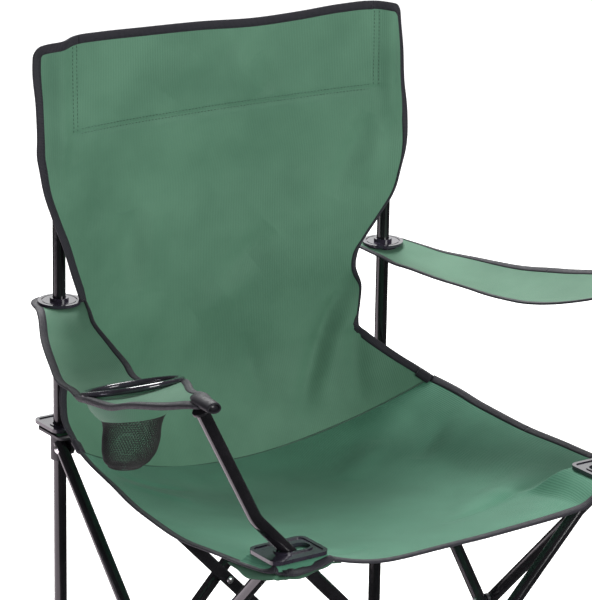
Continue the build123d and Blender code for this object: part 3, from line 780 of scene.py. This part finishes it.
def strip_end(side):
    """Row at which the back narrows to the strip's inner edge."""
    rows = np.linspace(BACK_LENGTH / 3, BACK_LENGTH * 2 / 3, 4000)
    return float(rows[np.argmax(back_half_width(rows, side) < SLEEVE_X)])


BACK_STEPS = (0.5, 0.5)
BACK_UV = (MM, MM)
STRIP_LEAST = 0.05
corner_rows = CORNER_ROUND * (1 - np.cos(np.linspace(0, math.pi / 2, 12)))


def back_line(x, p):
    """Points and normals of a line on the back."""
    return on_surface(back_surface, x, p, BACK_STEPS)


def back_strip(side, body, name, node_name):
    """Outer strip of the back, which sheathes a post and tapers away at the waist."""
    end = strip_end(side)
    rows = np.concatenate([corner_rows, np.linspace(CORNER_ROUND, end, 100)[1:]])
    share = np.linspace(0, 1, 22)
    wide = np.maximum(back_half_width(rows, side), SLEEVE_X + STRIP_LEAST)
    x = side * (SLEEVE_X + (wide[:, None] - SLEEVE_X) * share[None, :])
    p = np.broadcast_to(rows[:, None], x.shape)
    if side < 0:
        x = x[:, ::-1]
    strip = cloth_sheet(name, back_surface, x, p, BACK_STEPS, body, green, BACK_UV)
    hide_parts(node_name)
    top = np.linspace(SLEEVE_X - TAPE_LAP, wide[0], 40)[:-1]
    edge_x = side * np.concatenate([top, wide])
    edge_p = np.concatenate([np.zeros_like(top), rows])
    edge_tape = tape(name + "_tape", *back_line(edge_x, edge_p), body, -side, np.interp(edge_p, *EDGE_TAPE[side]))


SLEEVE_INSET = 7.0
SLEEVE_GAP = 1.5
SLEEVE_DEPTH = 20.0
SLEEVE_CLOSE = 12.0


def sleeve_rear(side, body, word):
    """Rear wall of the sleeve over a post top, sewn to the strip along both its sides and its top."""

    def surface(x, p):
        hump = bell(np.abs(x) - POST_X, POST_BULGE_WIDTH) * smooth(0, SLEEVE_CLOSE, p)
        behind = np.stack([0 * x, SLEEVE_GAP + SLEEVE_DEPTH * hump, 0 * x], -1) * MM
        return back_surface(x, p) + behind

    rows = np.linspace(SLEEVE_INSET, SLEEVE_END, 60)
    wide = back_half_width(rows, side) - SLEEVE_INSET
    x = side * (SLEEVE_X + (wide[:, None] - SLEEVE_X) * np.linspace(0, 1, 30)[None, :])
    p = np.broadcast_to(rows[:, None], x.shape)
    if side < 0:
        x = x[:, ::-1]
    wall = cloth_sheet(f"sleeve_rear_{word}", surface, x, p, BACK_STEPS, body, green, BACK_UV)


PANEL_STEP = 3.2
# Rows of stitches: along the header by distance past the sleeves' end, and along the sleeves by distance outwards
HEADER_ROWS = (-5.0, 1.0)
SLEEVE_ROWS = (1.5, 8.0)
SLEEVE_ROW_START = 8.0


def back_middle(name, node_name):
    """Middle of the back between the strips, with its rows and its half widths on the right and on the left."""
    rows = np.linspace(0, BACK_LENGTH, int(BACK_LENGTH / PANEL_STEP))
    share = np.linspace(-1, 1, 150)
    left = np.where(rows < strip_end(1), SLEEVE_X, back_half_width(rows, 1))
    right = np.where(rows < strip_end(-1), SLEEVE_X, back_half_width(rows, -1))
    x = np.where(share[None, :] < 0, share[None, :] * right[:, None], share[None, :] * left[:, None])
    p = np.broadcast_to(rows[:, None], x.shape)
    panel = cloth_sheet(name, back_surface, x, p, BACK_STEPS, ROOT, green, BACK_UV)
    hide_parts(node_name)
    return panel, rows, right, left


def squash_back(piece):
    """Gives a piece of the back its own copy of its mesh."""
    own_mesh(piece)


def back():
    """The whole back: two strips, the middle, its tapes and its stitching."""
    back_strip(-1, ROOT, "back_strip_right", "sleeve_right")
    back_strip(1, FAR_POST, "back_strip_left", "sleeve_left")
    sleeve_rear(-1, ROOT, "right")
    sleeve_rear(1, FAR_POST, "left")
    panel, rows, right, left = back_middle("back_panel_cloth", "back_panel")
    pieces = [panel]
    top_x = np.linspace(-SLEEVE_X, SLEEVE_X, 120)
    pieces.append(tape("back_top_tape", *back_line(top_x, np.zeros_like(top_x)), ROOT, -1))
    for side, word in SIDES:
        edge_p = np.linspace(strip_end(side) - TAPE_LAP, BACK_LENGTH, 140)
        edge_x = side * back_half_width(edge_p, side)
        pieces.append(tape(f"back_low_tape_{word}", *back_line(edge_x, edge_p), ROOT, -side,
                           np.interp(edge_p, *EDGE_TAPE[side])))
    seam_x = np.linspace(-right[-1] + SEAM_INSET, left[-1] - SEAM_INSET, 220)
    seam, seam_normals = back_line(seam_x, np.full_like(seam_x, BACK_LENGTH))
    pieces.append(bead("seam_welt", seam + seam_normals * SEAM_LIFT * MM, SEAM_R, ROOT, welt_green))
    for (side, word), wide in zip(SIDES, (right, left)):
        knot_p = np.linspace(BACK_LENGTH - KNOT_LENGTH, BACK_LENGTH, 8)
        knot_x = side * np.interp(knot_p, rows, wide)
        pieces.append(tape(f"seam_knot_{word}", *back_line(knot_x, knot_p), ROOT, -side, TAPE + KNOT_WIDER,
                           KNOT_THICK))
    line_x = np.linspace(-SLEEVE_X + SEAM_INSET, SLEEVE_X - SEAM_INSET, 160)
    for k, offset in enumerate(HEADER_ROWS):
        line_p = np.full_like(line_x, SLEEVE_END + offset)
        pieces.append(stitches(f"header_stitch_{k}", *back_line(line_x, line_p), ROOT))
    for piece in pieces:
        squash_back(piece)
    line_p = np.linspace(SLEEVE_ROW_START, SLEEVE_END - SEAM_INSET, 60)
    for (side, word), body in zip(SIDES, (ROOT, FAR_POST)):
        for k, inset in enumerate(SLEEVE_ROWS):
            line_x = np.full_like(line_p, side * (SLEEVE_X + inset))
            stitches(f"sleeve_stitch_{word}_{k}", *back_line(line_x, line_p), body)
    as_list(pieces[1:])


SEAT_STEPS = (0.002, 0.002)
SEAT_UV = (0.262, SEAT_LENGTH * MM)
# Width of the front tape by share across
FRONT_TAPE = keyed([(-1, 8.0), (-0.85, 7.5), (-0.68, 5.8), (0.2, 5.8), (0.5, 7.0), (1, 8.0)])
# Flat sizes of the rear, the middle and the hem part
SEAT_FLATS = ((0.53, 0.20), (0.56, 0.17), (0.56, 0.10))


def seat_line(u, s):
    """Points and normals of a line on the seat."""
    return on_surface(seat_surface, u, s, SEAT_STEPS)


def seat_piece(name, first, last, body):
    """Part of the seat between two shares of its length, with the tape along both sides."""
    rows = np.linspace(first, last, max(60, int((last - first) * 200)))
    u, s = grid(np.linspace(-1, 1, 170), rows)
    sheet = cloth_sheet(name, seat_surface, u, s, SEAT_STEPS, body, seat_green_with_painted_light, SEAT_UV)
    pieces = [sheet]
    for side, word in SIDES:
        edge_u = np.full_like(rows, side)
        pieces.append(tape(f"{name}_tape_{word}", *seat_line(edge_u, rows), body, -side))
    return pieces


def seat():
    """Seat in three parts that meet along its fold and along the front hem."""
    rear = seat_piece("seat_rear_cloth", 0.0, SEAT_SPLIT, "seat_rear")
    middle = seat_piece("seat_front_cloth", SEAT_SPLIT, SEAT_HEM, "seat_front")
    hem = seat_piece("seat_hem_cloth", SEAT_HEM, 1.0, FRONT_CORNER)
    front_u = np.linspace(-1, 1, 200)
    hem.append(tape("seat_front_tape", *seat_line(front_u, np.ones_like(front_u)), FRONT_CORNER, 1,
                    FRONT_TAPE(front_u)[..., 0]))
    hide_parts("seat_rear")
    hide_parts("seat_front")
    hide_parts("tab_front_right", "tab_front_left")
    for piece in rear + middle + hem:
        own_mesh(piece)
    for pieces, size in zip((rear, middle, hem), SEAT_FLATS):
        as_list(pieces[1:])


# Reinforcing patch under each front corner, whose edge hangs below the hem
FLAP_START = 0.80
FLAP_END = 0.67
FLAP_INSIDE = 12.0
FLAP_OUT = 4.0
FLAP_GAP = 2.4
FLAP_DROP = 6.5
FLAP_PEAK = 0.27
FLAP_SPREAD = 0.19
FLAP_SWELL = 0.25
FLAP_WAVE = 0.8
FLAP_WAVE_TURN = 31.0
FLAP_STEPS = (0.004, 0.02)
FLAP_UV = (0.2, 0.02)


def corner_flap(side, word):
    """Edge of the patch under one front corner."""
    path_s = np.concatenate([np.linspace(FLAP_START, 1, 40), np.ones(40)])
    path_u = side * np.concatenate([np.ones(40), np.linspace(1, FLAP_END, 41)[1:]])
    edge = seat_surface(path_u, path_s)
    length = run_length(edge)
    share = length / length[-1]
    centre = np.array([side * PLATE_X, PLATE_Y[0 if side < 0 else 1]]) * MM

    def surface(a, b):
        at = np.stack([np.interp(a, share, edge[:, k]) for k in range(3)], -1)
        out = unit(at[..., :2] - centre)
        swell = bell(a - FLAP_PEAK, FLAP_SPREAD) + FLAP_SWELL * np.sin(math.pi * np.clip(a, 0, 1))
        reach = (b * (FLAP_INSIDE + FLAP_OUT * swell) - FLAP_INSIDE) * MM
        drop = (FLAP_GAP + b**2 * FLAP_DROP * swell + FLAP_WAVE * b * np.sin(a * FLAP_WAVE_TURN)) * MM
        return np.stack([at[..., 0] + out[..., 0] * reach, at[..., 1] + out[..., 1] * reach, at[..., 2] - drop], -1)

    a, b = grid(np.linspace(0.01, 0.99, 90), np.linspace(0, 1, 10))
    body = f"corner_front_{word}"
    sheet = cloth_sheet(f"corner_flap_{word}", surface, a, b, FLAP_STEPS, body, green, FLAP_UV, flip=side < 0)


RING_CENTRE = np.array([-293.0, -35.0, 610.0])
RING_SLOPE = math.radians(17.8)
RING_HOLE = 53.5


def ring_hole(points, rows, columns):
    """Cuts the cup hole from a grid and draws its edge to a circle."""
    normal = np.array([0, math.sin(RING_SLOPE), math.cos(RING_SLOPE)])
    centre = RING_CENTRE * MM
    flat = points - centre
    flat = flat - (flat @ normal)[:, None] * normal
    reach = np.linalg.norm(flat, axis=1)
    inside = (reach < RING_HOLE * MM).reshape(rows, columns)
    kept = ~(inside[:-1, :-1] & inside[1:, :-1] & inside[:-1, 1:] & inside[1:, 1:])
    push = np.where(reach < RING_HOLE * MM, RING_HOLE * MM / np.maximum(reach, 1e-6) - 1, 0)
    return points + flat * push[:, None], kept


# Roll at the front end of each armrest: rows by distance past its start, as half width and half height
TIP_ROLL = [
    (0, 6.5, 4.0),
    (8, 9.2, 5.8),
    (22, 9.4, 6.2),
    (34, 8.8, 6.0),
    (37, 8.0, 5.4),
    (36, 6.6, 4.2),
    (22, 6.0, 3.6),
]
TIP_ROLL_BACK = 20.0
TIP_ROLL_Z = 666.6
TIP_ROLL_DIP = 0.06
TIP_ROLL_SIDES = 28
# Uneven roundness of the roll: the share by which its height varies, and the turn at which it is fullest
TIP_ROLL_UNEVEN = 0.12
TIP_ROLL_TURN = 0.6
# Dark plug in the roll's open front, painted shade that stands in for the shadow inside the roll: its place past the
# roll's start, half width, half height and length
TIP_SHADE_PLUG_PAST = 34.0
TIP_SHADE_PLUG_WIDE = 6.4
TIP_SHADE_PLUG_HIGH = 4.2
TIP_SHADE_PLUG_LONG = 8.0


def tip_roll(name, side, middle, tip_y, body):
    """Taped roll round the end of an armrest, open at its front, with a dark plug inside as painted shade."""
    turns = ring_turns(TIP_ROLL_SIDES)

    def ring(past, wide, high):
        x = side * middle + wide * np.cos(turns)
        z = TIP_ROLL_Z - past * TIP_ROLL_DIP + high * np.sin(turns)
        return np.stack([x, np.full_like(turns, tip_y + TIP_ROLL_BACK - past), z], -1) * MM

    uneven = 1 + TIP_ROLL_UNEVEN * np.cos(turns - TIP_ROLL_TURN)
    rings = [ring(past, wide, high * uneven) for past, wide, high in TIP_ROLL]
    # Ring and plug of black moulding in the roll's open front: painted shade for the shadow inside the roll.
    shade_rim = ring(TIP_SHADE_PLUG_PAST, TIP_SHADE_PLUG_WIDE, TIP_SHADE_PLUG_HIGH)
    plug = np.concatenate([shade_rim, shade_rim + np.array([0, TIP_SHADE_PLUG_LONG * MM, 0])])
    roll = add_object(name, np.concatenate(rings), tube_faces(len(rings), TIP_ROLL_SIDES), body, binding)
    return roll, add_object(name + "_shade_plug", plug, tube_faces(2, TIP_ROLL_SIDES), body, moulded)


def armrest(side, rows, word, hole):
    """Armrest in two halves that meet at its low middle."""
    surface = arm_surface(rows, side)
    tip_y = rows[-1][0]
    rounded = ARM_END_Y - ARM_END_ROUND + ARM_END_ROUND * np.sin(np.linspace(math.asin(ARM_END_SHARE), 0, 16))
    halves = (
        ("rear", np.concatenate([rounded, np.linspace(rounded[-1], ARM_LOW_Y, 80)[1:]]), None),
        ("front", np.linspace(ARM_LOW_Y, tip_y, 130), hole),
    )
    for end, ys, cut in halves:
        node_name = f"armrest_{end}_{word}"
        u, y = grid(np.linspace(-1, 1, 50), ys)
        name = f"arm_{end}_{word}_cloth"
        sheet = cloth_sheet(name, surface, u, y, ARM_STEPS, node_name, green, ARM_UV, flip=side > 0, hole=cut)
        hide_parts(node_name)
        pieces = []
        for edge, edge_word in ((-1, "inner"), (1, "outer")):
            line, normals = on_surface(surface, np.full_like(ys, edge), ys, ARM_STEPS)
            at_washer, at_low, at_tip = ARM_TAPES[side, edge_word]
            wide = np.interp(-ys, (-POST_X, -ARM_LOW_Y, -tip_y), (at_washer, at_low, at_tip))
            thick = np.interp(-ys, *ARM_EDGE) if (side, edge_word) == (-1, "outer") else 1.0
            pieces.append(tape(f"{name}_tape_{edge_word}", line, -side * normals, node_name, -edge * side, wide,
                               thick))
        if end == "rear":
            end_u = np.linspace(-1, 1, 30)
            line, normals = on_surface(surface, end_u, np.full_like(end_u, ys[0]), ARM_STEPS)
            pieces.append(tape(f"{name}_tape_end", line, -side * normals, node_name, -side))
        else:
            pieces += tip_roll(f"{name}_roll", side, rows[-1][1], tip_y, node_name)
        wide = np.linalg.norm(surface(np.ones_like(ys), ys) - surface(-np.ones_like(ys), ys), axis=1) / MM
        area = float(np.trapz(wide, -ys)) * MM * MM * ARM_AREA_SPARE
        if cut:
            area -= math.pi * (RING_HOLE * MM) ** 2


# Cup pocket: rows by depth below the ring, as radius and shift of the middle in x and y
POCKET_ROWS = keyed([
    (0, 51, 0, 0),
    (12, 47.5, 0, 0),
    (22, 41, 0, 0),
    (31, 34, 0, 0),
    (38, 32, -1, 0),
    (58, 31, -3.5, 1),
    (72, 27.5, -6, 2),
    (81, 20, -8, 3),
    (85.5, 7, -9, 3),
    (86, 0.5, -9, 3),
])
COLLAR_DEPTH = 28.0
COLLAR_STEPS = (0.01, 0.3)
POCKET_DEPTH = 85.8
POCKET_BELOW = 1.5
# Depth at which the rows are level, and the lobes: share of the radius, count, twist and rows where they grow
POCKET_LEVEL = 70.0
POCKET_LOBE = 0.03
POCKET_LOBES = 3
POCKET_TWIST = 20.0
POCKET_LOBE_ROWS = (10.0, 60.0)
NET_ROWS = 26
NET_WIRE = 0.52
NET_COUNT = 58


def pocket_surface(turn, depth):
    """Point of the cup pocket by turn round its middle and depth below the ring."""
    radius, shift_x, shift_y = np.moveaxis(POCKET_ROWS(depth), -1, 0)
    slope = math.tan(RING_SLOPE) * (1 - smooth(0, POCKET_LEVEL, depth))
    lobes = POCKET_LOBE * np.sin(POCKET_LOBES * turn + depth / POCKET_TWIST) * smooth(*POCKET_LOBE_ROWS, depth)
    radius = radius * (1 + lobes)
    x = RING_CENTRE[0] + shift_x + radius * np.cos(turn)
    y = RING_CENTRE[1] + shift_y + radius * np.sin(turn)
    z = RING_CENTRE[2] - POCKET_BELOW - depth - (y - RING_CENTRE[1]) * slope
    return np.stack([x, y, z], -1) * MM


def cup_pocket():
    """Green collar under the ring and the net that hangs from it."""
    turns, depths = grid(np.linspace(0, 2 * math.pi, 97), np.linspace(0, COLLAR_DEPTH, 8))
    collar = cloth_sheet("cup_collar", pocket_surface, turns, depths, COLLAR_STEPS, "armrest_front_right", green,
                         ARM_UV)
    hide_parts("cup_pocket")
    rows = np.linspace(COLLAR_DEPTH - 1, POCKET_DEPTH, NET_ROWS)
    turn = np.linspace(0, 2 * math.pi, NET_COUNT + 1)[:-1]
    turns, depths = grid(turn, rows)
    turns = turns + (np.arange(len(rows)) % 2)[:, None] * math.pi / NET_COUNT
    points = pocket_surface(turns, depths).reshape(-1, 3)
    faces = []
    for i in range(len(rows) - 1):
        for j in range(NET_COUNT):
            k = (j + 1) % NET_COUNT
            a, b = i * NET_COUNT, (i + 1) * NET_COUNT
            if i % 2 == 0:
                faces += [(a + j, b + j, a + k), (a + k, b + j, b + k)]
            else:
                faces += [(a + j, b + j, b + k), (a + j, b + k, a + k)]
    mesh_net = add_object("cup_net", points, faces, "armrest_front_right", net)
    wire = mesh_net.modifiers.new("wires", "WIREFRAME")
    wire.thickness = NET_WIRE * 2 * MM
    wire.use_even_offset = False


# Room
FLOOR_HALF = 6.0
FLOOR_LIFT = 0.6
WORLD_STRENGTH = 0.42
GLOSS_STRENGTH = 0.06
# Lamps by name, as place, aim, size, power and tint
LAMPS = (
    ("behind", (0.75, 1.6, 2.95), (0, 0, 0.5), 1.3, 122, (1, 1, 1)),
    ("front", (0.9, -3.4, 1.75), (0, 0, 0.8), 1.6, 97, (1, 1, 1)),
    ("side", (-3.0, 0.2, 0.35), (0, 0, 0.5), 1.0, 14, (0.93, 0.86, 1)),
    ("backdrop", (2.6, 3.7, 1.9), (0, 0, 0.9), 3.6, 60, (1, 1, 1)),
    ("floor_glow", (-1.25, 0.7, 0.004), (-1.25, 0.7, 1), 1.9, 24, (1, 0.88, 0.96)),
)
# Lamps that show in gloss only
SHINE_ONLY = ("backdrop", "floor_glow")


def studio():
    """Pale floor, white surroundings and soft lamps."""
    corners = [(x * FLOOR_HALF, y * FLOOR_HALF, 0) for x, y in ((-1, -1), (1, -1), (1, 1), (-1, 1))]
    floor_mesh = bpy.data.meshes.new("floor")
    floor_mesh.from_pydata(corners, [], [(0, 1, 2, 3)])
    floor = bpy.data.objects.new("floor", floor_mesh)
    bpy.context.scene.collection.objects.link(floor)
    white = (1, 1, 1, 1)
    material, tree, skin = shader("pale_floor")
    fill(tree, skin, Base_Color=(0.86, 0.86, 0.86, 1), Roughness=0.9)
    path = tree.nodes.new("ShaderNodeLightPath").outputs
    lifted = computed(tree, "MULTIPLY", path["Is Camera Ray"], FLOOR_LIFT)
    glow = node(tree, "ShaderNodeEmission", Color=white, Strength=lifted)
    both = tree.nodes.new("ShaderNodeAddShader")
    tree.links.new(skin.outputs[0], both.inputs[0])
    tree.links.new(glow.outputs[0], both.inputs[1])
    dim = node(tree, "ShaderNodeEmission", Color=white, Strength=GLOSS_STRENGTH)
    shown = chosen(tree, path["Is Glossy Ray"], both.outputs[0], dim.outputs[0])
    fill(tree, tree.nodes["Material Output"], Surface=shown)
    floor_mesh.materials.append(material)

    world = bpy.data.worlds.new("studio")
    bpy.context.scene.world = world
    world.use_nodes = True
    tree = world.node_tree
    plain = tree.nodes["Background"]
    fill(tree, plain, Color=white, Strength=WORLD_STRENGTH)
    bright = node(tree, "ShaderNodeBackground", Color=white, Strength=1.0)
    dim = node(tree, "ShaderNodeBackground", Color=white, Strength=GLOSS_STRENGTH)
    path = tree.nodes.new("ShaderNodeLightPath").outputs
    seen = computed(tree, "MAXIMUM", path["Is Camera Ray"], path["Is Transmission Ray"])
    shown = chosen(tree, seen, plain.outputs[0], bright.outputs[0])
    shown = chosen(tree, path["Is Glossy Ray"], shown, dim.outputs[0])
    fill(tree, tree.nodes["World Output"], Surface=shown)

    for name, place, aim, size, power, tint in LAMPS:
        data = bpy.data.lights.new(name, "AREA")
        data.size = size
        data.energy = power
        data.color = tint
        lamp = bpy.data.objects.new(name, data)
        lamp.location = place
        lamp.rotation_euler = (Vector(aim) - Vector(place)).to_track_quat("-Z", "Y").to_euler()
        bpy.context.scene.collection.objects.link(lamp)
        lamp.visible_camera = False
        lamp.visible_diffuse = name not in SHINE_ONLY


def camera():
    """Camera at the photograph's place, turned and rolled as it was."""
    a, e, r = (math.radians(v) for v in (CAMERA_AZIMUTH, CAMERA_ELEVATION, CAMERA_ROLL))
    ahead = Vector((-math.sin(a) * math.cos(e), math.cos(a) * math.cos(e), -math.sin(e)))
    level = ahead.cross(Vector((0, 0, 1))).normalized()
    upright = level.cross(ahead)
    right = level * math.cos(r) + upright * math.sin(r)
    up = -level * math.sin(r) + upright * math.cos(r)
    data = bpy.data.cameras.new("camera")
    data.sensor_width = SENSOR_WIDTH
    data.sensor_fit = "HORIZONTAL"
    data.lens = FOCAL_PIXELS / PHOTO_WIDTH * SENSOR_WIDTH
    data.clip_end = 100
    obj = bpy.data.objects.new("camera", data)
    turn = Matrix((right, up, -ahead)).transposed()
    obj.matrix_world = Matrix.Translation(CAMERA_PLACE) @ turn.to_4x4()
    bpy.context.scene.collection.objects.link(obj)
    bpy.context.scene.camera = obj


# Rear tabs: their run past the solid tab's front edge, the distance behind it where they bend, and their droop
REAR_TAB_PAST = 6.0
REAR_TAB_BEND = 4.0
REAR_TAB_DROOP = 0.05


def rear_tabs():
    """Cloth tabs clamped under the rear corner plates, which droop at their front edges."""
    for _, word in SIDES:
        low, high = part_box(f"tab_rear_{word}")
        front = low.y / MM

        def surface(x, y):
            droop = np.maximum(front + REAR_TAB_BEND - y, 0) ** 2 * REAR_TAB_DROOP
            return np.stack([x, y, PLATE_CLOTH_Z - droop], -1) * MM

        x, y = grid(np.linspace(low.x / MM, high.x / MM, 14), np.linspace(high.y / MM, front - REAR_TAB_PAST, 14))
        sheet = cloth_sheet(f"rear_tab_{word}", surface, x, y, BACK_STEPS, f"slider_{word}", green, BACK_UV)
        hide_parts(f"tab_rear_{word}")


camera()
studio()
back()
seat()
for side, word in SIDES:
    corner_flap(side, word)
rear_tabs()
armrest(-1, ARM_RIGHT, "right", ring_hole)
armrest(1, ARM_LEFT, "left", None)
cup_pocket()

bpy.context.scene.view_settings.view_transform = "Standard"
